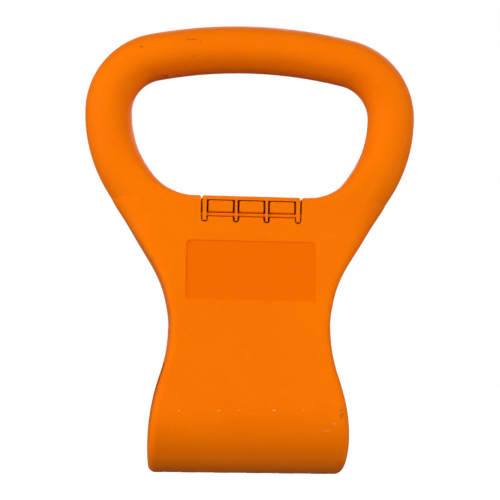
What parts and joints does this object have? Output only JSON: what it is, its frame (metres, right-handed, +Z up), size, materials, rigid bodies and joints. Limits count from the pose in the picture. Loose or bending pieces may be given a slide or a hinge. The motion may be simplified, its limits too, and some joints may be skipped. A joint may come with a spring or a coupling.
{
  "type": "kettlebell grip",
  "caption": "Orange plastic kettlebell handle: two hinged half shells with a comb latch and foam-lined barrel that clamp round a dumbbell's handle.",
  "frame": {"origin": "on the floor under the centre of the closed grip, standing on its barrel", "axes": "+Z up through the handle, +X along the hinge pin and the dumbbell's handle, the face with the latch and the plate recess at -Y"},
  "size_m": [0.1742, 0.066, 0.2347],
  "materials": {
    "orange_plastic": "satin moulded plastic with a fine grain",
    "latch_plastic": "satin moulded plastic, the same as the shells",
    "foam": "dense closed-cell foam, dull",
    "pin_steel": "plain drawn steel",
    "cap_steel": "stamped spring steel"
  },
  "bodies": {
    "front_half": {"front_shell": "orange_plastic", "front_pad": "foam", "hinge_pin": "pin_steel", "pin_caps": "cap_steel"},
    "rear_half": {"rear_shell": "orange_plastic", "rear_pad": "foam"},
    "latch": {"latch": "latch_plastic"}
  },
  "joints": [
    {"name": "shell_hinge", "type": "hinge", "parent": "front_half", "child": "rear_half", "pos_m": [0, 0, 0.0045], "axis": [-1, 0, 0], "range_deg": [0, 120]},
    {"name": "latch_pivot", "type": "hinge", "parent": "front_half", "child": "latch", "pos_m": [0, -0.01312, 0.1329], "axis": [1, 0, 0], "range_deg": [0, 12], "stiffness_Nm_per_rad": 0.02}
  ]
}
